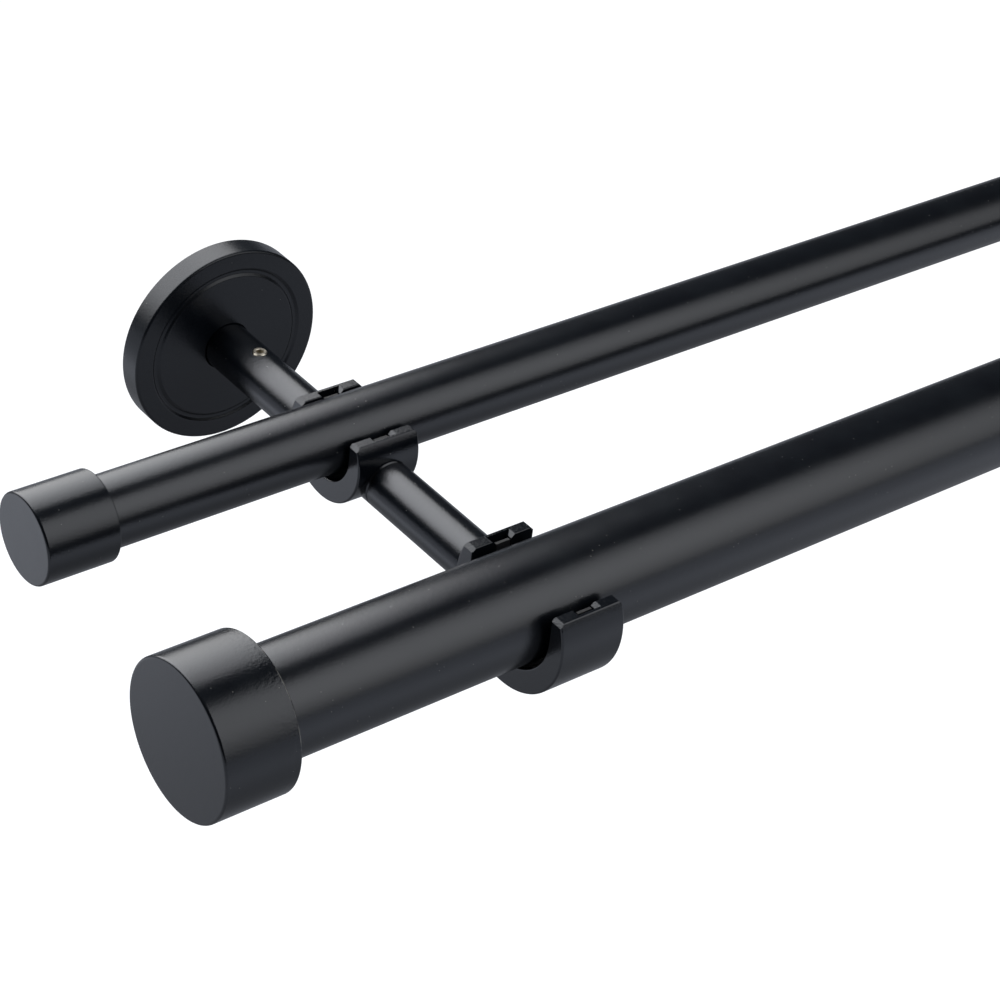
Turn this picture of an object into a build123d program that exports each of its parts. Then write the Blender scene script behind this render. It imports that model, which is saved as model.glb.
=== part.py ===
from build123d import *
import os
from dataclasses import dataclass
from math import acos, atan2, cos, hypot, sin, sqrt

# Double curtain pole: a thick front pole and a thin rear pole on two double wall brackets.
# +X runs along the poles, +Y points into the wall and +Z is up. All sizes are in millimetres.
# The origin is the middle of the left bracket's wall face, on the axis of its stem.

# Poles
FRONT_POLE_DIAMETER = 28.0
REAR_POLE_DIAMETER = 19.0
FRONT_POLE_WALL = 1.0
REAR_POLE_WALL = 1.0
BRACKET_SPACING = 1000.0
# An overhang is from a bracket's middle to the end of the tube.
FRONT_POLE_OVERHANG = 100.0
REAR_POLE_OVERHANG = 94.0
# A projection is from the wall to the pole's axis, and a height is from the stem's axis up to it.
FRONT_POLE_PROJECTION = 144.0
REAR_POLE_PROJECTION = 66.5
FRONT_POLE_HEIGHT = 5.3
REAR_POLE_HEIGHT = 8.5

# End caps
FRONT_CAP_DIAMETER = 40.0
REAR_CAP_DIAMETER = 24.0
FRONT_CAP_LENGTH = 20.0
REAR_CAP_LENGTH = 20.0
CAP_END_WALL = 3.5
CAP_EDGE_RADIUS = 0.6
CAP_TO_POLE_CLEARANCE = 0.1

# Stems
STEM_DIAMETER = 13.6
STEM_WALL = 1.5
STEM_EDGE_CHAMFER = 0.35
SPIGOT_CLEARANCE = 0.05

# Cradles. A drop is how far a circle's middle lies below the pole's axis.
CRADLE_WIDTH = 19.2
CRADLE_TOP_HEIGHT = 13.0
CRADLE_SIDE_EDGE_RADIUS = 0.5
CRADLE_TIP_OUTER_RADIUS = 0.5
CRADLE_TIP_INNER_RADIUS = 0.4
CRADLE_TIP_BEVEL = 1.05
FRONT_CRADLE_OUTER_RADIUS = 20.7
FRONT_CRADLE_OUTER_DROP = 1.5
FRONT_CRADLE_CLEARANCE = 1.4
FRONT_CRADLE_INNER_DROP = 0.0
REAR_CRADLE_OUTER_RADIUS = 15.4
REAR_CRADLE_OUTER_DROP = 2.9
REAR_CRADLE_CLEARANCE = 1.1
REAR_CRADLE_INNER_DROP = 1.3
BOSS_STAND_OUT = 0.3
SPIGOT_LENGTH = 12.0

# Notches in the arm tips, and the plastic liner that runs from notch to notch
NOTCH_WIDTH = 5.0
NOTCH_DEPTH = 4.0
NOTCH_OUTER_SKIN = 0.8
LINER_WIDTH = 4.2
LINER_GROOVE_DEPTH = 0.9
LINER_GROOVE_CLEARANCE = 0.05
LINER_TIP_DROP = 1.2
LINER_TO_POLE_CLEARANCE = 0.1

# Wall rose
ROSE_DIAMETER = 58.0
ROSE_DEPTH = 7.0
ROSE_WALL = 1.8
ROSE_EDGE_RADIUS = 0.7
ROSE_TO_STEM_CLEARANCE = 0.15
ROSE_GROOVE_DIAMETER = 45.2
ROSE_GROOVE_WIDTH = 2.4
ROSE_GROOVE_DEPTH = 0.55
ROSE_GROOVE_EDGE_RADIUS = 0.5
ROSE_GROOVE_WALL_LEAN = 0.75

# Wall plate behind the rose, with the spigot that carries the stem
ROSE_TO_PLATE_CLEARANCE = 2.2
PLATE_THICKNESS = 3.0
PLATE_EDGE_CHAMFER = 0.4
PLATE_SPIGOT_LENGTH = 28.0
PLATE_SPIGOT_CHAMFER = 0.8
PLATE_HOLE_DIAMETER = 4.8
PLATE_HOLE_FROM_RIM = 7.0
PLATE_NECK_WIDTH = 6.0
PLATE_NECK_DEPTH = 1.9

# Grub screw that locks the stem on the plate's spigot
GRUB_SCREW_DIAMETER = 4.0
GRUB_SCREW_FROM_WALL = 22.5
GRUB_SCREW_STAND_OUT = 0.2
GRUB_SCREW_CHAMFER = 0.3
GRUB_SOCKET_ACROSS_FLATS = 2.0
GRUB_SOCKET_DEPTH = 1.6
GRUB_HOLE_CLEARANCE = 0.05

# How far a cut reaches past what it cuts
CUT_MARGIN = 1.0

# Sizes that follow from the ones above
PLATE_RADIUS = ROSE_DIAMETER / 2 - ROSE_WALL - ROSE_TO_PLATE_CLEARANCE
PLATE_HOLE_OFFSET = PLATE_RADIUS - PLATE_HOLE_FROM_RIM
STEM_RADIUS = STEM_DIAMETER / 2
STEM_BORE_RADIUS = STEM_RADIUS - STEM_WALL
SPIGOT_RADIUS = STEM_BORE_RADIUS - SPIGOT_CLEARANCE
NECK_RADIUS = SPIGOT_RADIUS - PLATE_NECK_DEPTH


@dataclass(frozen=True)
class CradleSize:
    """The sizes that differ between the front cradle and the rear one."""

    pole_radius: float
    pole_height: float
    projection: float
    outer_radius: float
    outer_drop: float
    clearance: float
    inner_drop: float
    boss_sides: tuple

    @property
    def inner_radius(self):
        return self.pole_radius + self.clearance

    @property
    def inner_height(self):
        return self.pole_height - self.inner_drop

    @property
    def outer_height(self):
        return self.pole_height - self.outer_drop

    @property
    def boss_reach(self):
        return self.outer_radius + BOSS_STAND_OUT

    @property
    def clear_of_all(self):
        return 2 * (self.outer_radius + CRADLE_TOP_HEIGHT)

    @property
    def tip_outer_reach(self):
        rise = CRADLE_TOP_HEIGHT - self.outer_height
        return sqrt(self.outer_radius**2 - rise**2)


FRONT_CRADLE = CradleSize(
    pole_radius=FRONT_POLE_DIAMETER / 2,
    pole_height=FRONT_POLE_HEIGHT,
    projection=FRONT_POLE_PROJECTION,
    outer_radius=FRONT_CRADLE_OUTER_RADIUS,
    outer_drop=FRONT_CRADLE_OUTER_DROP,
    clearance=FRONT_CRADLE_CLEARANCE,
    inner_drop=FRONT_CRADLE_INNER_DROP,
    boss_sides=(1,),
)
REAR_CRADLE = CradleSize(
    pole_radius=REAR_POLE_DIAMETER / 2,
    pole_height=REAR_POLE_HEIGHT,
    projection=REAR_POLE_PROJECTION,
    outer_radius=REAR_CRADLE_OUTER_RADIUS,
    outer_drop=REAR_CRADLE_OUTER_DROP,
    clearance=REAR_CRADLE_CLEARANCE,
    inner_drop=REAR_CRADLE_INNER_DROP,
    boss_sides=(1, -1),
)


def rod_along_y(radius, start, end):
    """A plain cylinder on the stem's axis, between two places along Y."""
    middle = (start + end) / 2
    return Pos(0, middle, 0) * Rot(90, 0, 0) * Cylinder(radius, abs(end - start))


def turned_on_y(points, soft_corners=()):
    """A turned piece: a profile of (radius, y) points, with some corners rounded, about the Y axis."""
    profile = make_face(Polyline(*points, close=True))
    for point, radius in soft_corners:
        corner = profile.vertices().sort_by_distance(Vector(*point, 0))[0]
        profile = fillet(corner, radius)
    return revolve(profile, axis=Axis.Y)


def turned_on_x(points, soft_corners=()):
    """The same about the X axis, from a profile of (x, radius) points."""
    profile = make_face(Polyline(*points, close=True))
    for point, radius in soft_corners:
        corner = profile.vertices().sort_by_distance(Vector(*point, 0))[0]
        profile = fillet(corner, radius)
    return revolve(profile, axis=Axis.X)


def pole(diameter, wall, overhang, projection, height):
    """A round tube along X that reaches past both brackets by its overhang."""
    length = BRACKET_SPACING + 2 * overhang
    tube = Cylinder(diameter / 2, length) - Cylinder(diameter / 2 - wall, length)
    return Pos(BRACKET_SPACING / 2, -projection, height) * Rot(0, 90, 0) * tube


def end_cap(diameter, length, pole_diameter):
    """A turned cup with its closed end at x = 0 and its mouth towards +X."""
    outer = diameter / 2
    bore = pole_diameter / 2 + CAP_TO_POLE_CLEARANCE
    points = [(0, 0), (0, outer), (length, outer), (length, bore), (CAP_END_WALL, bore), (CAP_END_WALL, 0)]
    return turned_on_x(points, [((0, outer), CAP_EDGE_RADIUS), ((length, outer), CAP_EDGE_RADIUS)])


def end_caps(diameter, length, pole_diameter, overhang, projection, height):
    """The left and right caps of one pole, each with the tube's end against its end wall."""
    cap = end_cap(diameter, length, pole_diameter)
    reach = overhang + CAP_END_WALL
    left = Pos(-reach, -projection, height) * cap
    right = Pos(BRACKET_SPACING + reach, -projection, height) * Rot(0, 0, 180) * cap
    return left, right


def wall_plate():
    """The steel plate on the wall: a disc with two screw holes and a necked spigot."""
    spigot_end = PLATE_THICKNESS + PLATE_SPIGOT_LENGTH
    neck_start = GRUB_SCREW_FROM_WALL - PLATE_NECK_WIDTH / 2
    neck_end = GRUB_SCREW_FROM_WALL + PLATE_NECK_WIDTH / 2
    rim = PLATE_RADIUS
    points = [
        (0, 0), (rim, 0), (rim, -PLATE_THICKNESS + PLATE_EDGE_CHAMFER),
        (rim - PLATE_EDGE_CHAMFER, -PLATE_THICKNESS), (SPIGOT_RADIUS, -PLATE_THICKNESS),
        (SPIGOT_RADIUS, -neck_start + PLATE_NECK_DEPTH / 2), (NECK_RADIUS, -neck_start),
        (NECK_RADIUS, -neck_end), (SPIGOT_RADIUS, -neck_end - PLATE_NECK_DEPTH / 2),
        (SPIGOT_RADIUS, -spigot_end + PLATE_SPIGOT_CHAMFER),
        (SPIGOT_RADIUS - PLATE_SPIGOT_CHAMFER, -spigot_end), (0, -spigot_end),
    ]
    plate = turned_on_y(points)
    for side in (-1, 1):
        hole = rod_along_y(PLATE_HOLE_DIAMETER / 2, CUT_MARGIN, -PLATE_THICKNESS - CUT_MARGIN)
        plate -= Pos(0, 0, side * PLATE_HOLE_OFFSET) * hole
    return plate


def rose():
    """The round cover over the wall plate, open at the back, with a ring groove in its face."""
    rim = ROSE_DIAMETER / 2
    hole = STEM_RADIUS + ROSE_TO_STEM_CLEARANCE
    groove = ROSE_GROOVE_DIAMETER / 2
    half = ROSE_GROOVE_WIDTH / 2
    lean = ROSE_GROOVE_WALL_LEAN
    face = -ROSE_DEPTH
    floor = face + ROSE_GROOVE_DEPTH
    points = [
        (hole, face), (groove - half, face), (groove - half + lean, floor), (groove + half - lean, floor),
        (groove + half, face), (rim, face), (rim, 0), (rim - ROSE_WALL, 0),
        (rim - ROSE_WALL, face + ROSE_WALL), (hole, face + ROSE_WALL),
    ]
    soft = [
        ((rim, face), ROSE_EDGE_RADIUS),
        ((rim - ROSE_WALL, face + ROSE_WALL), ROSE_EDGE_RADIUS),
        ((groove - half, face), ROSE_GROOVE_EDGE_RADIUS),
        ((groove + half, face), ROSE_GROOVE_EDGE_RADIUS),
        ((groove - half + lean, floor), ROSE_GROOVE_EDGE_RADIUS),
        ((groove + half - lean, floor), ROSE_GROOVE_EDGE_RADIUS),
    ]
    return turned_on_y(points, soft)


def stem_tube(start, end):
    """A plain tube on the stem's axis, its outer edges lightly chamfered at both ends."""
    near = max(start, end)
    far = min(start, end)
    cut = STEM_EDGE_CHAMFER
    points = [
        (STEM_BORE_RADIUS, near), (STEM_RADIUS - cut, near), (STEM_RADIUS, near - cut),
        (STEM_RADIUS, far + cut), (STEM_RADIUS - cut, far), (STEM_BORE_RADIUS, far),
    ]
    return turned_on_y(points)


def wall_stem():
    """The tube from the wall plate to the rear cradle, with the grub screw's hole on top."""
    tube = stem_tube(-PLATE_THICKNESS, -REAR_CRADLE.projection + REAR_CRADLE.boss_reach)
    hole_radius = GRUB_SCREW_DIAMETER / 2 + GRUB_HOLE_CLEARANCE
    hole = Pos(0, -GRUB_SCREW_FROM_WALL, STEM_RADIUS) * Cylinder(hole_radius, STEM_DIAMETER)
    return tube - hole


def middle_stem():
    """The tube between the two cradles."""
    start = -REAR_CRADLE.projection - REAR_CRADLE.boss_reach
    end = -FRONT_CRADLE.projection + FRONT_CRADLE.boss_reach
    return stem_tube(start, end)


def grub_screw():
    """A headless screw with a hexagon socket, standing on the neck of the plate's spigot."""
    length = STEM_RADIUS + GRUB_SCREW_STAND_OUT - NECK_RADIUS
    radius = GRUB_SCREW_DIAMETER / 2
    body = Cylinder(radius, length, align=(Align.CENTER, Align.CENTER, Align.MIN))
    body = chamfer(body.edges().filter_by(GeomType.CIRCLE), GRUB_SCREW_CHAMFER)
    hexagon = RegularPolygon(GRUB_SOCKET_ACROSS_FLATS / 2, 6, major_radius=False)
    socket = extrude(Pos(0, 0, length) * hexagon, -GRUB_SOCKET_DEPTH)
    return Pos(0, -GRUB_SCREW_FROM_WALL, NECK_RADIUS) * (body - socket)


def u_channel(radius, height, width):
    """A bar along X with a U section: half round below `height`, straight-sided to above the tips."""
    rise = CRADLE_TOP_HEIGHT + CUT_MARGIN - height
    section = Pos(0, height) * Circle(radius)
    section += Pos(0, height + rise / 2) * Rectangle(2 * radius, rise)
    return extrude(Plane.YZ * section, width / 2, both=True)


def cradle(size):
    """A cast cradle about its own pole: an open cup, its notched arm tips and its stem spigots.

    The cup is thick below and thins towards the tips, because its outer circle lies lower than
    its inner one. The pole's axis is at y = 0 here.
    """
    half = CRADLE_WIDTH / 2
    left_rim = (-half, size.outer_radius)
    right_rim = (half, size.outer_radius)
    soft = [(left_rim, CRADLE_SIDE_EDGE_RADIUS), (right_rim, CRADLE_SIDE_EDGE_RADIUS)]
    body = Pos(0, 0, size.outer_height) * turned_on_x([(-half, 0), left_rim, right_rim, (half, 0)], soft)
    for side in size.boss_sides:
        boss = rod_along_y(STEM_RADIUS, 0, side * size.boss_reach)
        rims = boss.edges().filter_by(GeomType.CIRCLE).sort_by(lambda edge: side * edge.center().Y)
        body += chamfer(rims[-1], STEM_EDGE_CHAMFER)
    clear = size.clear_of_all
    above = Box(clear, clear, clear, align=(Align.CENTER, Align.CENTER, Align.MIN))
    body -= Pos(0, 0, CRADLE_TOP_HEIGHT) * above
    body -= u_channel(size.inner_radius, size.inner_height, CRADLE_WIDTH + 2 * CUT_MARGIN)
    body = bevel_and_round_tips(body, size)
    groove_width = LINER_WIDTH + 2 * LINER_GROOVE_CLEARANCE
    body -= u_channel(size.inner_radius + LINER_GROOVE_DEPTH, size.inner_height, groove_width)
    body -= notch(size)
    for side in size.boss_sides:
        end = size.boss_reach + SPIGOT_LENGTH
        body += rod_along_y(SPIGOT_RADIUS, side * (size.boss_reach - STEM_EDGE_CHAMFER), side * end)
    return body


def bevel_and_round_tips(body, size):
    """Softens the long edges of each arm tip and bevels its two ends."""
    inner_limit = size.inner_radius + LINER_GROOVE_DEPTH / 2
    for is_inner, radius in ((False, CRADLE_TIP_OUTER_RADIUS), (True, CRADLE_TIP_INNER_RADIUS)):
        tips = body.edges().filter_by(Axis.X).group_by(Axis.Z)[-1]
        body = fillet([edge for edge in tips if (abs(edge.center().Y) < inner_limit) == is_inner], radius)
    bevel = CRADLE_TIP_BEVEL
    for side in (-1, 1):
        edge = side * CRADLE_WIDTH / 2
        corner = [
            (edge, CRADLE_TOP_HEIGHT - bevel), (edge - side * bevel, CRADLE_TOP_HEIGHT),
            (edge, CRADLE_TOP_HEIGHT + bevel), (edge + side * bevel, CRADLE_TOP_HEIGHT),
        ]
        wedge = make_face(Plane.XZ * Polyline(*corner, close=True))
        body -= extrude(wedge, size.clear_of_all, both=True)
    return body


def notch(size):
    """The pocket in both arm tips: bevelled at its two ends, with a thin skin left outside it."""
    half = NOTCH_WIDTH / 2
    bevel = CRADLE_TIP_BEVEL
    top = CRADLE_TOP_HEIGHT
    points = [
        (-half, top - NOTCH_DEPTH), (half, top - NOTCH_DEPTH), (half, top - bevel), (half + bevel, top),
        (half + bevel, top + bevel), (-half - bevel, top + bevel), (-half - bevel, top), (-half, top - bevel),
    ]
    reach = size.tip_outer_reach - NOTCH_OUTER_SKIN
    return extrude(make_face(Plane.XZ * Polyline(*points, close=True)), reach, both=True)


def liner(size):
    """The plastic strip in the cradle: it follows the groove, and carries the pole at its bottom.

    Its inside is round under the pole, then runs straight from a tangent point on each side to a
    tip that is flush with the cradle's inner wall.
    """
    outer = size.inner_radius + LINER_GROOVE_DEPTH - LINER_GROOVE_CLEARANCE
    seat = size.pole_radius + LINER_TO_POLE_CLEARANCE
    tip_height = CRADLE_TOP_HEIGHT - LINER_TIP_DROP
    tip_reach = size.inner_radius
    # The tangent from a tip to the seat's circle, from the tip's distance and direction.
    rise = tip_height - size.pole_height
    turn = atan2(rise, tip_reach) - acos(seat / hypot(tip_reach, rise))
    touch_reach = seat * cos(turn)
    touch_height = size.pole_height + seat * sin(turn)
    left_touch = (-touch_reach, touch_height)
    right_touch = (touch_reach, touch_height)
    left_side = (-outer, size.inner_height)
    right_side = (outer, size.inner_height)
    outline = Polyline(left_touch, (-tip_reach, tip_height), (-outer, tip_height), left_side)
    outline += ThreePointArc(left_side, (0, size.inner_height - outer), right_side)
    outline += Polyline(right_side, (outer, tip_height), (tip_reach, tip_height), right_touch)
    outline += ThreePointArc(right_touch, (0, size.pole_height - seat), left_touch)
    section = make_face(Plane.YZ * outline)
    return extrude(section, LINER_WIDTH / 2, both=True)


def bracket():
    """The pieces of one double bracket, by name, with its wall face at y = 0."""
    pieces = {
        "wall_plate": wall_plate(),
        "rose": rose(),
        "wall_stem": wall_stem(),
        "grub_screw": grub_screw(),
        "middle_stem": middle_stem(),
    }
    for name, size in (("rear", REAR_CRADLE), ("front", FRONT_CRADLE)):
        pieces[f"{name}_cradle"] = Pos(0, -size.projection, 0) * cradle(size)
        pieces[f"{name}_liner"] = Pos(0, -size.projection, 0) * liner(size)
    return pieces


def double_curtain_pole():
    """Every piece of the object, by the name of its node."""
    front_place = (FRONT_POLE_OVERHANG, FRONT_POLE_PROJECTION, FRONT_POLE_HEIGHT)
    rear_place = (REAR_POLE_OVERHANG, REAR_POLE_PROJECTION, REAR_POLE_HEIGHT)
    nodes = {
        "front_pole": pole(FRONT_POLE_DIAMETER, FRONT_POLE_WALL, *front_place),
        "rear_pole": pole(REAR_POLE_DIAMETER, REAR_POLE_WALL, *rear_place),
    }
    front_caps = end_caps(FRONT_CAP_DIAMETER, FRONT_CAP_LENGTH, FRONT_POLE_DIAMETER, *front_place)
    rear_caps = end_caps(REAR_CAP_DIAMETER, REAR_CAP_LENGTH, REAR_POLE_DIAMETER, *rear_place)
    nodes["left_front_cap"], nodes["right_front_cap"] = front_caps
    nodes["left_rear_cap"], nodes["right_rear_cap"] = rear_caps
    pieces = bracket()
    for side, place in (("left", 0), ("right", BRACKET_SPACING)):
        for name, piece in pieces.items():
            nodes[f"{side}_{name}"] = Pos(place, 0, 0) * piece
    return nodes


def main():
    """Writes one STEP file per node."""
    os.makedirs("parts", exist_ok=True)
    for name, piece in double_curtain_pole().items():
        export_step(piece, f"parts/{name}.step")


main()
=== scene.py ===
import logging
from dataclasses import dataclass, field
from enum import Enum
from math import cos, radians, sin

import bmesh
import bpy
import numpy as np
from mathutils import Matrix, Vector


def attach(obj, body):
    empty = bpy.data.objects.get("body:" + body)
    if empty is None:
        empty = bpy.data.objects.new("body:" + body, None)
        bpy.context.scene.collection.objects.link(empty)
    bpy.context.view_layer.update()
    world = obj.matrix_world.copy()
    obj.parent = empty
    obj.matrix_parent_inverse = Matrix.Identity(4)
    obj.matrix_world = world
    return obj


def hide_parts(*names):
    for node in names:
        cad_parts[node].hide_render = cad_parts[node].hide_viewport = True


# The looks of the double curtain pole. Sizes are written in millimetres, as on a drawing, and
# become metres where a mesh is made. +X runs along the poles, +Y into the wall and +Z up.

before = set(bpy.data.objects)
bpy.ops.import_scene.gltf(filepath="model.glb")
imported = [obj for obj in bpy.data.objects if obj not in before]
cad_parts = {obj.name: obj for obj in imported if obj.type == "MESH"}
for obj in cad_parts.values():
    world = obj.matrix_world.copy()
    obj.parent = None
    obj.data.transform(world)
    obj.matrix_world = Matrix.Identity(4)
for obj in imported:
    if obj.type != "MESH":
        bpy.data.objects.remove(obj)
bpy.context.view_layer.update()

LOG = logging.getLogger("double_curtain_pole")
MM = 0.001
BRACKET_SPACING_MM = 1000.0
MERGE_DISTANCE_M = 1e-7
# The sockets of a Mix node for colours, by number, because its other sockets share their names.
MIX_SHARE, MIX_FIRST, MIX_SECOND, MIX_RESULT = 0, 6, 7, 2


class Side(Enum):
    """Which end of the poles a piece belongs to."""

    LEFT = "left"
    RIGHT = "right"

    @property
    def bracket_mm(self) -> float:
        """Where this side's bracket stands along X."""
        return 0.0 if self is Side.LEFT else BRACKET_SPACING_MM

    @property
    def outwards(self) -> float:
        """The sign of X that leads away from the middle of the poles."""
        return -1.0 if self is Side.LEFT else 1.0


class Slot(Enum):
    """The material slots, one for each kind of piece."""

    POLE = "pole"
    CAP = "cap"
    CRADLE = "cradle"
    STEM = "stem"
    ROSE = "rose"
    LINER = "liner"
    PLATE = "plate"
    GRUB_SCREW = "grub_screw"


def linear(colour: str) -> tuple[float, float, float, float]:
    """Turns an sRGB hex colour into a linear one.

    Args:
        colour: six hex digits with a leading hash.

    Returns:
        Linear red, green and blue, and an alpha of 1.
    """
    parts = np.array([int(colour[i : i + 2], 16) for i in (1, 3, 5)]) / 255
    values = np.where(parts <= 0.04045, parts / 12.92, ((parts + 0.055) / 1.055) ** 2.4)
    return (*values.tolist(), 1.0)


def per_metre(size_mm: float) -> float:
    """The scale of a pattern whose repeat has this real size.

    Args:
        size_mm: the size of one repeat in millimetres.

    Returns:
        Repeats in a metre, for a texture on Object coordinates.
    """
    return 1 / (size_mm * MM)


def add_node(
    tree: bpy.types.NodeTree, kind: str, settings: dict | None = None, links: dict | None = None
) -> bpy.types.Node:
    """Adds a node with its settings and its links.

    Args:
        tree: the node tree that takes the node.
        kind: the node's type name.
        settings: attributes by name, or the default values of sockets by name or number.
        links: the node output that feeds each socket, by the socket's name or number.

    Returns:
        The new node.
    """
    node = tree.nodes.new(kind)
    for key, value in (settings or {}).items():
        if isinstance(key, str) and key not in node.inputs and hasattr(node, key):
            setattr(node, key, value)
        else:
            node.inputs[key].default_value = value
    for key, output in (links or {}).items():
        tree.links.new(output, node.inputs[key])
    return node


def new_tree(name: str) -> tuple[bpy.types.Material, bpy.types.NodeTree]:
    """A material with an empty node tree.

    Args:
        name: the material's name.

    Returns:
        The material and its tree.
    """
    material = bpy.data.materials.new(name)
    material.use_nodes = True
    material.node_tree.nodes.clear()
    return material, material.node_tree


@dataclass(frozen=True)
class PowderCoat:
    """Black polyester powder, sprayed on steel or on cast or turned metal, and baked.

    To the eye it is a near-black satin with a cool cast: long soft reflections that a fine orange
    peel and its grit break up, cloudy where the coat is thin, with a few pale specks of dust. The
    grit of the real coat is about 0.05 mm, and it is drawn as coarse as it needs to show.
    """

    name: str
    colour: str = "#03040b"
    thin_colour: str = "#13181d"
    cloud_mm: float = 11.0
    cloud_detail: float = 5.0
    cloud_roughness: float = 0.72
    ior: float = 1.55
    tint: str = "#f4f7fd"
    roughness: float = 0.25
    roughness_spread: float = 0.05
    peel_mm: float = 1.6
    peel_depth_mm: float = 0.012
    grit_mm: float = 0.4
    grit_depth_mm: float = 0.032
    dust_mm: float = 2.1
    dust_radius_mm: float = 0.12
    dust_share: float = 0.5
    # The specks' colour; on the caps the same colour paints the highlight line on the mouth's edge.
    dust_and_highlight_colour: str = "#6a6a66"

    def material(self) -> bpy.types.Material:
        """Builds the material.

        Returns:
            The finished powder coat.
        """
        material, tree = new_tree(self.name)
        place = add_node(tree, "ShaderNodeTexCoord").outputs["Object"]
        clouds = add_node(
            tree, "ShaderNodeTexNoise",
            {
                "Scale": per_metre(self.cloud_mm), "Detail": self.cloud_detail,
                "Roughness": self.cloud_roughness,
            },
            {"Vector": place},
        )
        tone = add_node(
            tree, "ShaderNodeMix",
            {"data_type": "RGBA", MIX_FIRST: linear(self.colour), MIX_SECOND: linear(self.thin_colour)},
            {MIX_SHARE: clouds.outputs["Fac"]},
        )
        # Mixes in the dust specks, and on the caps the painted highlight line too.
        dust_and_highlight_tone = add_node(
            tree, "ShaderNodeMix", {"data_type": "RGBA", MIX_SECOND: linear(self.dust_and_highlight_colour)},
            {MIX_SHARE: self.dust_and_highlight(tree, place), MIX_FIRST: tone.outputs[MIX_RESULT]},
        )
        rough = add_node(
            tree, "ShaderNodeMapRange",
            {
                "To Min": self.roughness - self.roughness_spread,
                "To Max": self.roughness + self.roughness_spread,
            },
            {"Value": clouds.outputs["Fac"]},
        )
        coat = add_node(
            tree, "ShaderNodeBsdfPrincipled", {"IOR": self.ior, "Specular Tint": linear(self.tint)},
            {
                "Base Color": dust_and_highlight_tone.outputs[MIX_RESULT], "Roughness": rough.outputs[0],
                "Normal": self.peel(tree, place),
            },
        )
        add_node(tree, "ShaderNodeOutputMaterial", {}, {"Surface": coat.outputs[0]})
        return material

    def dust_and_highlight(self, tree: bpy.types.NodeTree, place: bpy.types.NodeSocket) -> bpy.types.NodeSocket:
        """Sparse specks: the small middle of some cells of a cell pattern.

        Args:
            tree: the material's tree.
            place: the coordinates.

        Returns:
            1 on a speck and 0 elsewhere.
        """
        cells = add_node(
            tree, "ShaderNodeTexVoronoi", {"Scale": per_metre(self.dust_mm)}, {"Vector": place}
        )
        near = add_node(
            tree, "ShaderNodeMath", {"operation": "LESS_THAN", 1: self.dust_radius_mm / self.dust_mm},
            {0: cells.outputs["Distance"]},
        )
        split = add_node(tree, "ShaderNodeSeparateColor", {}, {0: cells.outputs["Color"]})
        some = add_node(
            tree, "ShaderNodeMath", {"operation": "LESS_THAN", 1: self.dust_share}, {0: split.outputs[0]}
        )
        both = add_node(
            tree, "ShaderNodeMath", {"operation": "MULTIPLY"}, {0: near.outputs[0], 1: some.outputs[0]}
        )
        return both.outputs[0]

    def peel(self, tree: bpy.types.NodeTree, place: bpy.types.NodeSocket) -> bpy.types.NodeSocket:
        """Orange peel with fine grit on it, as two bumps one on the other.

        Args:
            tree: the material's tree.
            place: the coordinates.

        Returns:
            The bumped normal.
        """
        waves = add_node(
            tree, "ShaderNodeTexNoise", {"Scale": per_metre(self.peel_mm), "Detail": 1.0}, {"Vector": place}
        )
        grit = add_node(
            tree, "ShaderNodeTexNoise", {"Scale": per_metre(self.grit_mm), "Detail": 2.0}, {"Vector": place}
        )
        soft = add_node(
            tree, "ShaderNodeBump", {"Distance": self.peel_depth_mm * MM}, {"Height": waves.outputs["Fac"]}
        )
        fine = add_node(
            tree, "ShaderNodeBump", {"Distance": self.grit_depth_mm * MM},
            {"Height": grit.outputs["Fac"], "Normal": soft.outputs[0]},
        )
        return fine.outputs[0]


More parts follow.
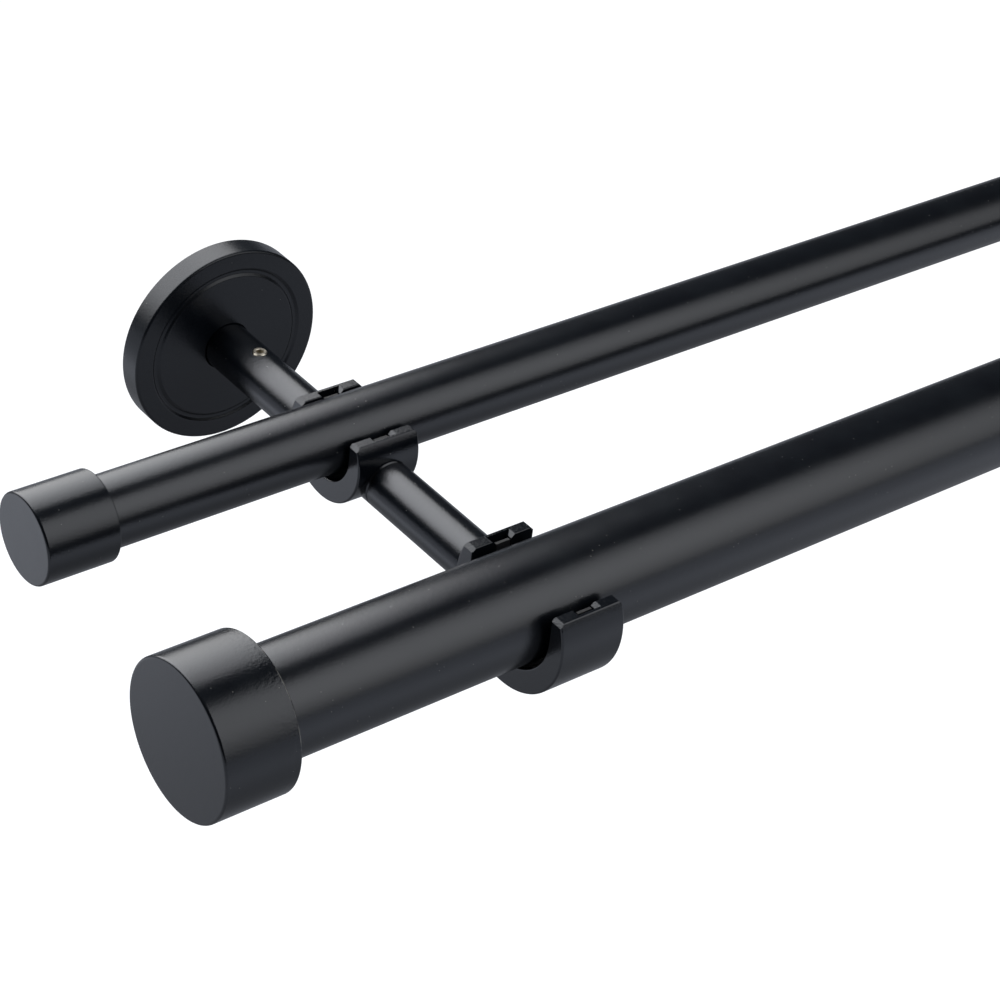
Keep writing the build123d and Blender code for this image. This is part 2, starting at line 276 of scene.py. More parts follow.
@dataclass(frozen=True)
class CapCoat(PowderCoat):
    """The same powder on a turned end cap, a little glossier.

    On the wide cap it ripples near the mouth, and a broken pale line on the mouth's sharp edge is
    painted highlight. Both follow the cap's own map, whose V is the distance along its
    turned profile.
    """

    ripple_start_mm: float = 30.5
    ripple_full_mm: float = 39.5
    ripple_mm: float = 1.1
    ripple_depth_mm: float = 0.092
    # Where the painted highlight line on the mouth's edge runs, its half width, and its broken patches.
    highlight_at_mm: float = 39.55
    highlight_half_mm: float = 0.22
    highlight_patch_mm: float = 2.5
    highlight_from: float = 0.45
    highlight_full: float = 0.65

    def along(self, tree: bpy.types.NodeTree) -> bpy.types.NodeSocket:
        """The distance along the turned profile, in metres."""
        split = add_node(
            tree, "ShaderNodeSeparateXYZ", {}, {0: add_node(tree, "ShaderNodeUVMap").outputs["UV"]}
        )
        return split.outputs["Y"]

    def dust_and_highlight(self, tree: bpy.types.NodeTree, place: bpy.types.NodeSocket) -> bpy.types.NodeSocket:
        """Adds the painted highlight line of the mouth's edge to the specks.

        Args:
            tree: the material's tree.
            place: the coordinates.

        Returns:
            1 on a speck or on the painted highlight line and 0 elsewhere.
        """
        # Painted highlight: a pale line along the mouth's sharp edge, broken into patches by noise.
        highlight_line = add_node(
            tree, "ShaderNodeMath",
            {"operation": "COMPARE", 1: self.highlight_at_mm * MM, 2: self.highlight_half_mm * MM},
            {0: self.along(tree)},
        )
        highlight_patches = add_node(
            tree, "ShaderNodeTexNoise", {"Scale": per_metre(self.highlight_patch_mm), "Detail": 3.0},
            {"Vector": place},
        )
        highlight_share = add_node(
            tree, "ShaderNodeMapRange", {"From Min": self.highlight_from, "From Max": self.highlight_full},
            {"Value": highlight_patches.outputs["Fac"]},
        )
        painted_highlight = add_node(
            tree, "ShaderNodeMath", {"operation": "MULTIPLY"}, {0: highlight_line.outputs[0], 1: highlight_share.outputs[0]}
        )
        both = add_node(
            tree, "ShaderNodeMath", {"operation": "MAXIMUM"},
            {0: painted_highlight.outputs[0], 1: super().dust_and_highlight(tree, place)},
        )
        return both.outputs[0]

    def peel(self, tree: bpy.types.NodeTree, place: bpy.types.NodeSocket) -> bpy.types.NodeSocket:
        """Adds the ripple to the orange peel, growing along the last part of the side to the mouth.

        Args:
            tree: the material's tree.
            place: the coordinates.

        Returns:
            The bumped normal.
        """
        peel = super().peel(tree, place)
        grow = add_node(
            tree, "ShaderNodeMapRange",
            {
                "interpolation_type": "SMOOTHSTEP", "From Min": self.ripple_start_mm * MM,
                "From Max": self.ripple_full_mm * MM,
            },
            {"Value": self.along(tree)},
        )
        waves = add_node(
            tree, "ShaderNodeTexNoise", {"Scale": per_metre(self.ripple_mm), "Detail": 2.0},
            {"Vector": place},
        )
        height = add_node(
            tree, "ShaderNodeMath", {"operation": "MULTIPLY"}, {0: waves.outputs["Fac"], 1: grow.outputs[0]}
        )
        ripple = add_node(
            tree, "ShaderNodeBump", {"Distance": self.ripple_depth_mm * MM},
            {"Height": height.outputs[0], "Normal": peel},
        )
        return ripple.outputs[0]


@dataclass(frozen=True)
class MouldedNylon:
    """Black nylon from a spark-eroded mould: matt, a little greyer than the coat beside it.

    The mould's grain is about 0.1 mm, and it is drawn as coarse as it needs to show.
    """

    name: str
    colour: str = "#141517"
    pale_colour: str = "#1d1e21"
    ior: float = 1.53
    roughness: float = 0.45
    smoother: float = 0.05
    rougher: float = 0.1
    grain_mm: float = 0.5
    grain_depth_mm: float = 0.01

    def material(self) -> bpy.types.Material:
        """Builds the material.

        Returns:
            The finished nylon.
        """
        material, tree = new_tree(self.name)
        place = add_node(tree, "ShaderNodeTexCoord").outputs["Object"]
        grain = add_node(
            tree, "ShaderNodeTexNoise", {"Scale": per_metre(self.grain_mm), "Detail": 2.0},
            {"Vector": place},
        )
        tone = add_node(
            tree, "ShaderNodeMix",
            {"data_type": "RGBA", MIX_FIRST: linear(self.colour), MIX_SECOND: linear(self.pale_colour)},
            {MIX_SHARE: grain.outputs["Fac"]},
        )
        rough = add_node(
            tree, "ShaderNodeMapRange",
            {"To Min": self.roughness - self.smoother, "To Max": self.roughness + self.rougher},
            {"Value": grain.outputs["Fac"]},
        )
        bump = add_node(
            tree, "ShaderNodeBump", {"Distance": self.grain_depth_mm * MM}, {"Height": grain.outputs["Fac"]}
        )
        nylon = add_node(
            tree, "ShaderNodeBsdfPrincipled", {"IOR": self.ior},
            {
                "Base Color": tone.outputs[MIX_RESULT], "Roughness": rough.outputs[0],
                "Normal": bump.outputs[0],
            },
        )
        add_node(tree, "ShaderNodeOutputMaterial", {}, {"Surface": nylon.outputs[0]})
        return material


@dataclass(frozen=True)
class PlatedSteel:
    """Steel with a thin bright plating: pale, metallic, a little hazed where it was handled."""

    name: str
    colour: str
    haze_colour: str
    roughness: float
    smoother: float = 0.08
    rougher: float = 0.12
    haze_mm: float = 3.0

    def material(self) -> bpy.types.Material:
        """Builds the material.

        Returns:
            The finished plating.
        """
        material, tree = new_tree(self.name)
        place = add_node(tree, "ShaderNodeTexCoord").outputs["Object"]
        haze = add_node(
            tree, "ShaderNodeTexNoise", {"Scale": per_metre(self.haze_mm), "Detail": 4.0}, {"Vector": place}
        )
        tone = add_node(
            tree, "ShaderNodeMix",
            {"data_type": "RGBA", MIX_FIRST: linear(self.colour), MIX_SECOND: linear(self.haze_colour)},
            {MIX_SHARE: haze.outputs["Fac"]},
        )
        rough = add_node(
            tree, "ShaderNodeMapRange",
            {"To Min": self.roughness - self.smoother, "To Max": self.roughness + self.rougher},
            {"Value": haze.outputs["Fac"]},
        )
        metal = add_node(
            tree, "ShaderNodeBsdfPrincipled", {"Metallic": 1.0},
            {"Base Color": tone.outputs[MIX_RESULT], "Roughness": rough.outputs[0]},
        )
        add_node(tree, "ShaderNodeOutputMaterial", {}, {"Surface": metal.outputs[0]})
        return material


FINISHES = {
    Slot.POLE: PowderCoat("powder_coated_steel_tube"),
    Slot.CAP: CapCoat("powder_coated_turned_cap", ior=1.5, roughness=0.21),
    Slot.CRADLE: PowderCoat(
        "powder_coated_cast_zinc", ior=1.5, roughness=0.14, roughness_spread=0.03, dust_share=0.2
    ),
    Slot.STEM: PowderCoat("powder_coated_steel_stem", roughness=0.23, dust_share=0.3),
    Slot.ROSE: PowderCoat("powder_coated_pressed_rose", ior=1.4, dust_share=0.1),
    Slot.LINER: MouldedNylon("moulded_black_nylon"),
    Slot.PLATE: PlatedSteel("zinc_plated_steel", "#c3c3bd", "#8e8a82", roughness=0.35),
    Slot.GRUB_SCREW: PlatedSteel("nickel_plated_steel", "#dcd6c9", "#8f897d", roughness=0.3),
}


@dataclass
class FinishingShop:
    """Makes each finish once and puts it on the pieces."""

    made: dict[Slot, bpy.types.Material] = field(default_factory=dict)

    def finish(self, slot: Slot) -> bpy.types.Material:
        """The material of a slot, made at its first use.

        Args:
            slot: the material slot.

        Returns:
            The material.
        """
        if slot not in self.made:
            self.made[slot] = FINISHES[slot].material()
        return self.made[slot]

    def dress_node(self, name: str, slot: Slot) -> None:
        """Gives a carried-over CAD node its finish.

        Args:
            name: the node's name.
            slot: its material slot.
        """
        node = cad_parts[name]
        node.data.materials.clear()
        node.data.materials.append(self.finish(slot))
        LOG.info("dressed %s in %s", name, self.finish(slot).name)

    def add_piece(self, mesh: bpy.types.Mesh, node: str, slot: Slot) -> None:
        """Puts a new piece in the scene under its mesh's name, in the place of a CAD node.

        Args:
            mesh: its mesh, already in its place.
            node: the CAD node that it stands for.
            slot: its material slot.
        """
        piece = bpy.data.objects.new(mesh.name, mesh)
        bpy.context.scene.collection.objects.link(piece)
        mesh.materials.append(self.finish(slot))
        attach(piece, "root")
        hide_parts(node)
        LOG.info("built %s in %s, %d faces", mesh.name, self.finish(slot).name, len(mesh.polygons))


@dataclass(frozen=True)
class Lathe:
    """Turns profiles about an axis. A profile is an array of (distance along the axis, radius).

    The axis starts at `start` and runs along `axis`; `across` is a direction square to it, from
    which the turn is counted.
    """

    start: tuple[float, float, float]
    axis: tuple[float, float, float]
    across: tuple[float, float, float]
    segments: int = 192

    def grid(self, along: np.ndarray, radius: np.ndarray) -> np.ndarray:
        """Points of a turned surface.

        A point is the start, plus the distance along the axis, plus the radius times the direction
        that has turned from `across` by the column's share of a whole turn.

        Args:
            along: distances along the axis, one row each, or one for each row and column.
            radius: radii, shaped like `along`.

        Returns:
            Points in millimetres, by row and column.
        """
        axis = np.array(self.axis)
        across = np.array(self.across)
        upright = np.cross(axis, across)
        turn = np.linspace(0, 2 * np.pi, self.segments, endpoint=False)
        spoke = np.outer(np.cos(turn), across) + np.outer(np.sin(turn), upright)
        if along.ndim == 1:
            along, radius = along[:, None], radius[:, None]
        along, radius = np.broadcast_arrays(along, radius + np.zeros(self.segments))
        return np.array(self.start) + along[..., None] * axis + radius[..., None] * spoke

    def mesh(self, name: str, along: np.ndarray, radius: np.ndarray, closed: bool) -> bpy.types.Mesh:
        """The mesh of a turned surface.

        The map's U is the share of a turn and its V is the distance along the profile in metres.
        Rows on the axis fold into one point, and the faces are turned to look outwards.

        Args:
            name: the mesh's name.
            along: distances along the axis.
            radius: radii.
            closed: whether the profile's last row joins its first.

        Returns:
            The mesh.
        """
        grid = self.grid(along, radius) * MM
        rows, columns = grid.shape[:2]
        steps = np.linalg.norm(np.diff(grid, axis=0, append=grid[:1]), axis=2).mean(axis=1)
        reach = np.concatenate(([0.0], np.cumsum(steps)))
        last_row = rows if closed else rows - 1
        row, column = np.meshgrid(np.arange(last_row), np.arange(columns), indexing="ij")
        next_row, next_column = (row + 1) % rows, (column + 1) % columns
        corners = [(row, column), (row, next_column), (next_row, next_column), (next_row, column)]
        faces = np.stack([a * columns + b for a, b in corners], axis=-1).reshape(-1, 4)
        turn_share = np.stack([column, column + 1, column + 1, column], axis=-1) / columns
        profile_share = np.stack([reach[row], reach[row], reach[row + 1], reach[row + 1]], axis=-1)
        mesh = bpy.data.meshes.new(name)
        mesh.from_pydata(grid.reshape(-1, 3), [], faces.tolist())
        layer = mesh.uv_layers.new(name="profile_map")
        layer.data.foreach_set("uv", np.stack([turn_share, profile_share], axis=-1).ravel())
        heal(mesh)
        return mesh


def heal(mesh: bpy.types.Mesh, sharp_degrees: float = 38.0) -> None:
    """Merges doubled points, turns the faces outwards, and smooths all but the sharp edges.

    Args:
        mesh: the mesh.
        sharp_degrees: an edge that bends more than this stays sharp.
    """
    work = bmesh.new()
    work.from_mesh(mesh)
    bmesh.ops.remove_doubles(work, verts=work.verts, dist=MERGE_DISTANCE_M)
    bmesh.ops.recalc_face_normals(work, faces=work.faces)
    work.to_mesh(mesh)
    work.free()
    mesh.shade_smooth()
    mesh.set_sharp_from_angle(angle=radians(sharp_degrees))


def softened(
    corners: list[tuple[float, float]], radii: list[float], closed: bool, steps: int = 6, hold: float = 0.04
) -> tuple[np.ndarray, np.ndarray]:
    """Rounds the corners of a profile.

    A corner that turns by an angle is cut back by its radius times the tangent of half the angle.
    The arc between the two cuts is the first cut, plus the radius times the sine of the angle so
    far along the line that comes in, plus the radius times one less its cosine to the inner side.
    One more point just outside each cut holds the flat part flat under smooth shading.

    Args:
        corners: the profile's corners, each a distance along the axis and a radius.
        radii: the rounding of each corner, or 0.
        closed: whether the last corner joins the first.
        steps: how many steps an arc has.
        hold: how far outside an arc the extra points stand.

    Returns:
        The distances along the axis and the radii of the rounded profile.
    """
    points = np.array(corners, dtype=float)
    arcs = []
    for index, radius in enumerate(radii):
        corner = points[index]
        at_end = not closed and index in (0, len(points) - 1)
        if radius == 0 or at_end:
            arcs.append(corner[None])
            continue
        inward = corner - points[index - 1]
        outward = points[(index + 1) % len(points)] - corner
        inward /= np.linalg.norm(inward)
        outward /= np.linalg.norm(outward)
        turn = np.arccos(np.clip(inward @ outward, -1, 1))
        side = (outward - inward * np.cos(turn)) / np.sin(turn)
        start = corner - inward * radius * np.tan(turn / 2)
        angle = np.linspace(0, turn, steps + 1)[:, None]
        arc = start + radius * (np.sin(angle) * inward + (1 - np.cos(angle)) * side)
        arcs.append(np.concatenate([[arc[0] - hold * inward], arc, [arc[-1] + hold * outward]]))
    along, radius = np.concatenate(arcs).T
    return along, radius


@dataclass(frozen=True)
class EndCap:
    """A turned cup pushed on the end of a pole: a flat closed end, a straight side, an open mouth."""

    diameter: float
    length: float
    end_wall: float = 3.5
    bore_clearance: float = 0.1
    face_edge: float = 0.6
    mouth_edge: float = 0.35
    bore_edge: float = 0.15
    floor_edge: float = 0.3

    def profile(self, pole_diameter: float) -> tuple[np.ndarray, np.ndarray]:
        """The cup's profile, from the middle of its face, round its mouth, to the end of its bore.

        Args:
            pole_diameter: the diameter of the pole that it fits on.

        Returns:
            Distances from the face, inwards, and radii.
        """
        outer = self.diameter / 2
        bore = pole_diameter / 2 + self.bore_clearance
        corners = [
            (0, 0), (0, outer), (self.length, outer), (self.length, bore), (self.end_wall, bore),
            (self.end_wall, 0),
        ]
        radii = [0, self.face_edge, self.mouth_edge, self.bore_edge, self.floor_edge, 0]
        return softened(corners, radii, closed=False)


@dataclass(frozen=True)
class Pole:
    """One round steel tube and the two end caps on it."""

    name: str
    diameter: float
    overhang: float
    projection: float
    height: float
    cap: EndCap
    wall: float = 1.0
    lip: float = 0.15
    lip_steps: int = 3

    def tube_mesh(self) -> bpy.types.Mesh:
        """The tube: a closed ring profile, with both lips rounded, carried along X.

        Returns:
            The mesh.
        """
        start = Side.LEFT.bracket_mm - self.overhang
        length = Side.RIGHT.bracket_mm + self.overhang - start
        outer = self.diameter / 2
        bore = outer - self.wall
        corners = [(0, bore), (0, outer), (length, outer), (length, bore)]
        along, radius = softened(corners, [self.lip] * len(corners), closed=True, steps=self.lip_steps)
        lathe = Lathe((start, -self.projection, self.height), (1, 0, 0), (0, 0, 1))
        return lathe.mesh(f"{self.name}_tube", along, radius, closed=True)

    def cap_mesh(self, side: Side) -> bpy.types.Mesh:
        """The cap of one end, its closed end away from the brackets.

        Args:
            side: the end of the pole.

        Returns:
            The mesh.
        """
        face = side.bracket_mm + side.outwards * (self.overhang + self.cap.end_wall)
        along, radius = self.cap.profile(self.diameter)
        lathe = Lathe((face, -self.projection, self.height), (-side.outwards, 0, 0), (0, 0, 1))
        return lathe.mesh(f"{side.value}_{self.name}_end_cap", along, radius, closed=False)

    def build(self, shop: FinishingShop) -> None:
        """Builds the tube and its two caps.

        Args:
            shop: where they are finished.
        """
        shop.add_piece(self.tube_mesh(), f"{self.name}_pole", Slot.POLE)
        for side in Side:
            shop.add_piece(self.cap_mesh(side), f"{side.value}_{self.name}_cap", Slot.CAP)


@dataclass(frozen=True)
class Rose:
    """The round cover on the wall: a shallow open-backed cup with a soft ring groove in its face."""

    diameter: float = 58.0
    depth: float = 7.0
    wall: float = 1.8
    edge: float = 0.7
    hole_diameter: float = 13.9
    groove_diameter: float = 45.2
    groove_width: float = 2.4
    groove_depth: float = 0.55
    groove_lean: float = 0.75
    groove_edge: float = 0.5
    broken_edge: float = 0.2
    segments: int = 256

    def mesh(self, side: Side) -> bpy.types.Mesh:
        """The cover, turned about the stem's axis.

        The profile runs from the hole's front edge out along the face, down and up through the
        groove, round the rim to the wall, and back inside the cup.

        Args:
            side: the bracket that it belongs to.

        Returns:
            The mesh.
        """
        rim, hole, groove = self.diameter / 2, self.hole_diameter / 2, self.groove_diameter / 2
        half, floor = self.groove_width / 2, self.depth - self.groove_depth
        corners = [
            (self.depth, hole), (self.depth, groove - half), (floor, groove - half + self.groove_lean),
            (floor, groove + half - self.groove_lean), (self.depth, groove + half), (self.depth, rim),
            (0, rim), (0, rim - self.wall), (self.depth - self.wall, rim - self.wall),
            (self.depth - self.wall, hole),
        ]
        soft, broken = self.groove_edge, self.broken_edge
        radii = [broken, soft, soft, soft, soft, self.edge, broken, broken, self.edge, broken]
        along, radius = softened(corners, radii, closed=True)
        lathe = Lathe((side.bracket_mm, 0, 0), (0, -1, 0), (0, 0, 1), self.segments)
        return lathe.mesh(f"{side.value}_wall_rose", along, radius, closed=True)


@dataclass(frozen=True)
class GrubScrew:
    """The headless screw that locks the stem: a threaded pin with a hexagon socket in its top."""

    diameter: float = 4.0
    foot: float = 3.35
    top: float = 7.0
    from_wall: float = 22.5
    chamfer: float = 0.3
    pitch: float = 0.7
    thread_depth: float = 0.28
    thread_fade: float = 0.1
    across_flats: float = 2.0
    socket_depth: float = 1.6
    socket_lip: float = 0.1
    socket_point: float = 0.4
    columns: int = 96
    flank_rows: int = 57

    def mesh(self, side: Side) -> bpy.types.Mesh:
        """The screw as one surface, from its foot up the thread and down into the socket.

        On the flank the radius is the screw's own less the thread's depth times a triangle wave
        of (height over pitch, less the share of a turn), which makes a helix, and it fades out
        just below the top chamfer. In the socket the radius is half the width across flats divided
        by the cosine of the angle from the middle of the nearest flat.

        Args:
            side: the bracket that it belongs to.

        Returns:
            The mesh.
        """
        turn = np.linspace(0, 2 * np.pi, self.columns, endpoint=False)
        flank = np.linspace(self.foot + self.chamfer, self.top - self.chamfer, self.flank_rows)[:, None]
        wave = np.abs(2 * ((flank / self.pitch - turn / (2 * np.pi)) % 1) - 1)
        fade = np.clip((self.top - self.chamfer - flank) / self.thread_fade, 0, 1)
        thread = self.diameter / 2 - self.thread_depth * wave * fade
        sixth = np.pi / 3
        flat = self.across_flats / 2 / np.cos((turn % sixth) - sixth / 2)
        circle = np.ones(self.columns)
        end = (self.diameter / 2 - self.chamfer) * circle
        socket_floor = self.top - self.socket_depth
        rows = [
            (self.foot, 0 * circle), (self.foot, end), *zip(flank[:, 0], thread), (self.top, end),
            (self.top, flat + self.socket_lip), (self.top - self.socket_lip, flat),
            (socket_floor, flat), (socket_floor - self.socket_point, 0 * circle),
        ]
        along = np.stack([height * circle for height, _ in rows])
        radius = np.stack([reach for _, reach in rows])
        lathe = Lathe((side.bracket_mm, -self.from_wall, 0), (0, 0, 1), (1, 0, 0), self.columns)
        return lathe.mesh(f"{side.value}_socket_screw", along, radius, closed=False)


@dataclass(frozen=True)
class Bracket:
    """One double bracket: its new rose and screw, and the castings and tubes kept from the CAD."""

    side: Side
    rose: Rose = Rose()
    screw: GrubScrew = GrubScrew()
    kept: tuple[tuple[str, Slot], ...] = (
        ("wall_plate", Slot.PLATE), ("wall_stem", Slot.STEM), ("middle_stem", Slot.STEM),
        ("rear_cradle", Slot.CRADLE), ("front_cradle", Slot.CRADLE),
        ("rear_liner", Slot.LINER), ("front_liner", Slot.LINER),
    )

    def build(self, shop: FinishingShop) -> None:
        """Dresses the kept pieces and builds the new ones.

        Args:
            shop: where they are finished.
        """
        for piece, slot in self.kept:
            shop.dress_node(f"{self.side.value}_{piece}", slot)
        shop.add_piece(self.rose.mesh(self.side), f"{self.side.value}_rose", Slot.ROSE)
        shop.add_piece(self.screw.mesh(self.side), f"{self.side.value}_grub_screw", Slot.GRUB_SCREW)


@dataclass(frozen=True)
class DoubleCurtainPole:
    """The whole object: two poles with their caps, on two double brackets."""

    poles: tuple[Pole, ...] = (
        Pole("front", diameter=28.0, overhang=100.0, projection=144.0, height=5.3, cap=EndCap(40.0, 20.0)),
        Pole("rear", diameter=19.0, overhang=94.0, projection=66.5, height=8.5, cap=EndCap(24.0, 20.0)),
    )
    brackets: tuple[Bracket, ...] = (Bracket(Side.LEFT), Bracket(Side.RIGHT))

    def build(self, shop: FinishingShop) -> None:
        """Builds every sub-assembly in order.

        Args:
            shop: where the pieces are finished.
        """
        for part in (*self.brackets, *self.poles):
            part.build(shop)


@dataclass(frozen=True)
class PhotoCamera:
    """The camera that took the photograph: its place, its aim and its lens."""

    place_mm: tuple[float, float, float] = (-356.55, -516.62, 397.50)
    yaw: float = 42.35
    pitch: float = -35.32
    roll: float = 7.45
    lens_mm: float = 96.15
    sensor_mm: float = 36.0
    nearest_m: float = 0.02
    farthest_m: float = 60.0

    def make(self) -> None:
        """Builds the camera and makes it the scene's own.

        Yaw turns the view from +Y towards +X, pitch lifts it, and roll turns the frame about it.
        """
        yaw, pitch, roll = radians(self.yaw), radians(self.pitch), radians(self.roll)
        ahead = Vector((sin(yaw) * cos(pitch), cos(yaw) * cos(pitch), sin(pitch)))
        level = ahead.cross(Vector((0, 0, 1))).normalized()
        upright = level.cross(ahead)
        right = cos(roll) * level + sin(roll) * upright
        up = cos(roll) * upright - sin(roll) * level
        data = bpy.data.cameras.new("photo_camera")
        data.sensor_width = self.sensor_mm
        data.lens = self.lens_mm
        data.clip_start = self.nearest_m
        data.clip_end = self.farthest_m
        camera = bpy.data.objects.new("photo_camera", data)
        turn = Matrix((right, up, -ahead)).transposed().to_4x4()
        camera.matrix_world = Matrix.Translation(Vector(self.place_mm) * MM) @ turn
        bpy.context.scene.collection.objects.link(camera)
        bpy.context.scene.camera = camera


@dataclass(frozen=True)
class Softbox:
    """A large soft lamp: a cloth-covered box, brightest at one place and dimmer at its rim."""

    name: str
    place: tuple[float, float, float]
    aim: tuple[float, float, float]
    width: float
    height: float
    radiance: float
    rim_share: float = 0.35
    brightest: tuple[float, float] = (0.5, 0.5)
    dim_from: float = 0.15
    dim_full: float = 0.6

    def make(self) -> None:
        """Builds the lamp. Its power is its radiance times pi times its area."""
        data = bpy.data.lights.new(self.name, "AREA")
        data.shape = "RECTANGLE"
        data.size = self.width
        data.size_y = self.height
        data.energy = self.radiance * np.pi * self.width * self.height
        self.shade(data)
        lamp = bpy.data.objects.new(self.name, data)
        lamp.location = self.place
        ahead = Vector(self.aim) - Vector(self.place)
        lamp.rotation_euler = ahead.to_track_quat("-Z", "Y").to_euler()
        lamp.visible_camera = False
        bpy.context.scene.collection.objects.link(lamp)

    def shade(self, data: bpy.types.Light) -> None:
        """Dims the cloth towards its rim, by the distance from its brightest place.

        Args:
            data: the lamp's data.
        """
        data.use_nodes = True
        tree = data.node_tree
        tree.nodes.clear()
        cloth = add_node(tree, "ShaderNodeNewGeometry").outputs["Parametric"]
        away = add_node(
            tree, "ShaderNodeVectorMath", {"operation": "DISTANCE", 1: (*self.brightest, 0.0)}, {0: cloth}
        )
        glow = add_node(
            tree, "ShaderNodeMapRange",
            {
                "interpolation_type": "SMOOTHSTEP", "From Min": self.dim_from, "From Max": self.dim_full,
                "To Min": 1.0, "To Max": self.rim_share,
            },
            {"Value": away.outputs["Value"]},
        )
        light = add_node(tree, "ShaderNodeEmission", {}, {"Strength": glow.outputs[0]})
        add_node(tree, "ShaderNodeOutputLight", {}, {"Surface": light.outputs[0]})


@dataclass(frozen=True)
class Studio:
    """The plain pale floor, the surroundings and the lamps, in metres."""

    floor_z: float = -0.40
    floor_size: float = 30.0
    floor_colour: str = "#9b9fa6"
    floor_roughness: float = 0.9
    near_glow: float = 0.78
    far_glow: float = 1.0
    far_at: float = 1.1
    gloss_middle: tuple[float, float] = (0.15, 0.05)
    gloss_reach: tuple[float, float] = (0.2, 0.9)
    gloss_colour: str = "#eef3ff"
    gloss_near: float = 0.14
    gloss_far: float = 0.68
    # How much of the gloss glow stays in the painted shade at the back right, and where it starts.
    gloss_behind: float = 0.5
    behind_direction: tuple[float, float, float] = (0.707, 0.707, 0.0)
    behind_reach: tuple[float, float] = (0.2, 0.7)
    gloss_paper: float = 0.4
    # The painted pool of light in the gloss glow at the back left.
    pool_middle: tuple[float, float] = (-0.45, 0.50)
    pool_reach: tuple[float, float] = (0.08, 0.34)
    pool_glow: float = 0.46
    surroundings: float = 0.04
    lamps: tuple[Softbox, ...] = (
        Softbox(
            "back_softbox", (-0.095, 0.31, 0.35), (-0.095, -0.12, -0.05),
            width=0.81, height=0.86, radiance=4.8, rim_share=0.45,
        ),
        Softbox(
            "front_softbox", (0.64, -0.88, 0.62), (0.02, -0.10, 0.0),
            width=1.2, height=1.34, radiance=1.85, rim_share=0.5, brightest=(0.38, 0.62),
        ),
    )

    def make(self) -> None:
        """Builds the floor, the world and the lamps."""
        self.make_floor()
        self.make_world()
        for lamp in self.lamps:
            lamp.make()
        bpy.context.scene.view_settings.view_transform = "Standard"

    def make_floor(self) -> None:
        """A flat pale paper floor, well below the brackets.

        It glows to the camera, more with the distance from the bracket, so that it runs out to
        white as a paper sweep does while its middle keeps the shadow. The gloss of the object sees
        the paper darker, with a cooler glow of its own.
        """
        half = self.floor_size / 2
        corners = [(-half, -half), (half, -half), (half, half), (-half, half)]
        mesh = bpy.data.meshes.new("floor")
        mesh.from_pydata([(x, y, self.floor_z) for x, y in corners], [], [(0, 1, 2, 3)])
        floor = bpy.data.objects.new("floor", mesh)
        bpy.context.scene.collection.objects.link(floor)
        material, tree = new_tree("pale_paper_floor")
        place = add_node(tree, "ShaderNodeTexCoord").outputs["Object"]
        ray = add_node(tree, "ShaderNodeLightPath")
        shiny = add_node(
            tree, "ShaderNodeMath", {"operation": "MAXIMUM"},
            {0: ray.outputs["Is Glossy Ray"], 1: ray.outputs["Is Transmission Ray"]},
        )
        sweep = self.by_distance(tree, place, (0, 0), (0, self.far_at), (self.near_glow, self.far_glow))
        mirrored = add_node(
            tree, "ShaderNodeMath", {"operation": "MULTIPLY"},
            {0: shiny.outputs[0], 1: self.gloss(tree, place)},
        )
        glow = add_node(
            tree, "ShaderNodeMath", {"operation": "MULTIPLY_ADD"},
            {0: ray.outputs["Is Camera Ray"], 1: sweep, 2: mirrored.outputs[0]},
        )
        colour = linear(self.floor_colour)
        darker = (*[self.gloss_paper * part for part in colour[:3]], 1.0)
        tone = add_node(
            tree, "ShaderNodeMix", {"data_type": "RGBA", MIX_FIRST: colour, MIX_SECOND: darker},
            {MIX_SHARE: shiny.outputs[0]},
        )
        cast = add_node(
            tree, "ShaderNodeMix",
            {"data_type": "RGBA", MIX_FIRST: (1, 1, 1, 1), MIX_SECOND: linear(self.gloss_colour)},
            {MIX_SHARE: shiny.outputs[0]},
        )
        paper = add_node(
            tree, "ShaderNodeBsdfPrincipled", {"Roughness": self.floor_roughness},
            {
                "Base Color": tone.outputs[MIX_RESULT], "Emission Color": cast.outputs[MIX_RESULT],
                "Emission Strength": glow.outputs[0],
            },
        )
        add_node(tree, "ShaderNodeOutputMaterial", {}, {"Surface": paper.outputs[0]})
        mesh.materials.append(material)

    def by_distance(
        self, tree: bpy.types.NodeTree, place: bpy.types.NodeSocket, middle: tuple[float, float],
        reach: tuple[float, float], values: tuple[float, float],
    ) -> bpy.types.NodeSocket:
        """A value that goes smoothly from one to another with the distance along the floor.

        Args:
            tree: the floor's tree.
            place: the coordinates.
            middle: where the distance is counted from.
            reach: the distances at which the first value ends and the second one starts.
            values: the two values.

        Returns:
            The value.
        """
        away = add_node(
            tree, "ShaderNodeVectorMath", {"operation": "DISTANCE", 1: (*middle, self.floor_z)}, {0: place}
        )
        value = add_node(
            tree, "ShaderNodeMapRange",
            {
                "interpolation_type": "SMOOTHSTEP", "From Min": reach[0], "From Max": reach[1],
                "To Min": values[0], "To Max": values[1],
            },
            {"Value": away.outputs["Value"]},
        )
        return value.outputs[0]

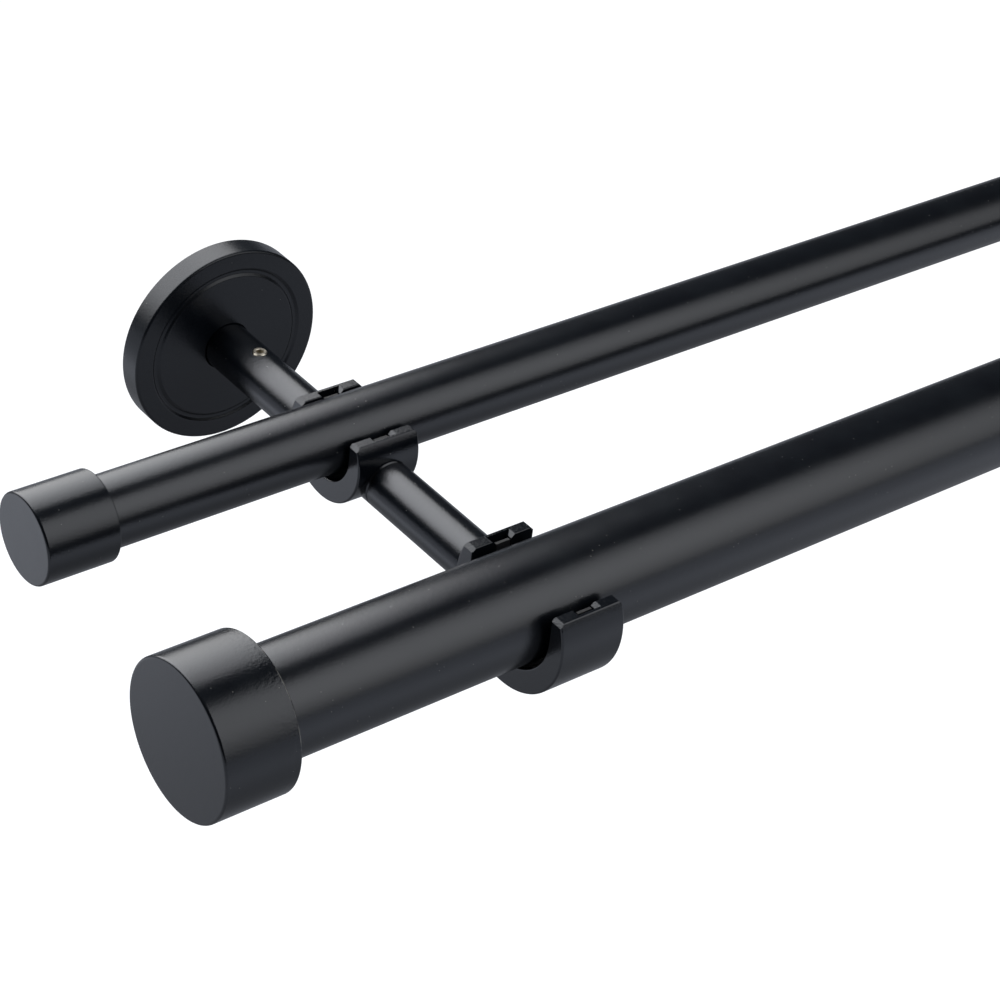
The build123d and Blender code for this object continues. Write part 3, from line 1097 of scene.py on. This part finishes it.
    def gloss(self, tree: bpy.types.NodeTree, place: bpy.types.NodeSocket) -> bpy.types.NodeSocket:
        """How bright the paper stands in the gloss of the object.

        It grows with the distance from the brackets and has a painted pool of light at the back left,
        and it fades again towards the back right as painted shade on the paper.

        Args:
            tree: the floor's tree.
            place: the coordinates.

        Returns:
            The strength of the glow that gloss sees.
        """
        glow = (self.gloss_near, self.gloss_far)
        grow = self.by_distance(tree, place, self.gloss_middle, self.gloss_reach, glow)
        # Painted pool of light at the back left.
        pool = self.by_distance(tree, place, self.pool_middle, self.pool_reach, (self.pool_glow, 0.0))
        # Painted shade: the gloss glow dims towards the back right.
        behind = add_node(
            tree, "ShaderNodeVectorMath", {"operation": "DOT_PRODUCT", 1: self.behind_direction}, {0: place}
        )
        fade = add_node(
            tree, "ShaderNodeMapRange",
            {
                "interpolation_type": "SMOOTHSTEP", "From Min": self.behind_reach[0],
                "From Max": self.behind_reach[1], "To Min": 1.0, "To Max": self.gloss_behind,
            },
            {"Value": behind.outputs["Value"]},
        )
        total = add_node(
            tree, "ShaderNodeMath", {"operation": "MULTIPLY_ADD"}, {0: grow, 1: fade.outputs[0], 2: pool}
        )
        return total.outputs[0]

    def make_world(self) -> None:
        """Dim even surroundings, which the camera sees as white."""
        world = bpy.data.worlds.new("studio_air")
        bpy.context.scene.world = world
        world.use_nodes = True
        tree = world.node_tree
        tree.nodes.clear()
        ray = add_node(tree, "ShaderNodeLightPath")
        strength = add_node(
            tree, "ShaderNodeMapRange", {"To Min": self.surroundings, "To Max": 1.0},
            {"Value": ray.outputs["Is Camera Ray"]},
        )
        air = add_node(
            tree, "ShaderNodeBackground", {"Color": (1, 1, 1, 1)}, {"Strength": strength.outputs[0]}
        )
        add_node(tree, "ShaderNodeOutputWorld", {}, {"Surface": air.outputs[0]})


def main() -> None:
    """Builds the camera, the studio and the object, and logs each piece."""
    logging.basicConfig(level=logging.INFO, format="%(message)s")
    PhotoCamera().make()
    Studio().make()
    DoubleCurtainPole().build(FinishingShop())


if __name__ == "__main__":
    main()
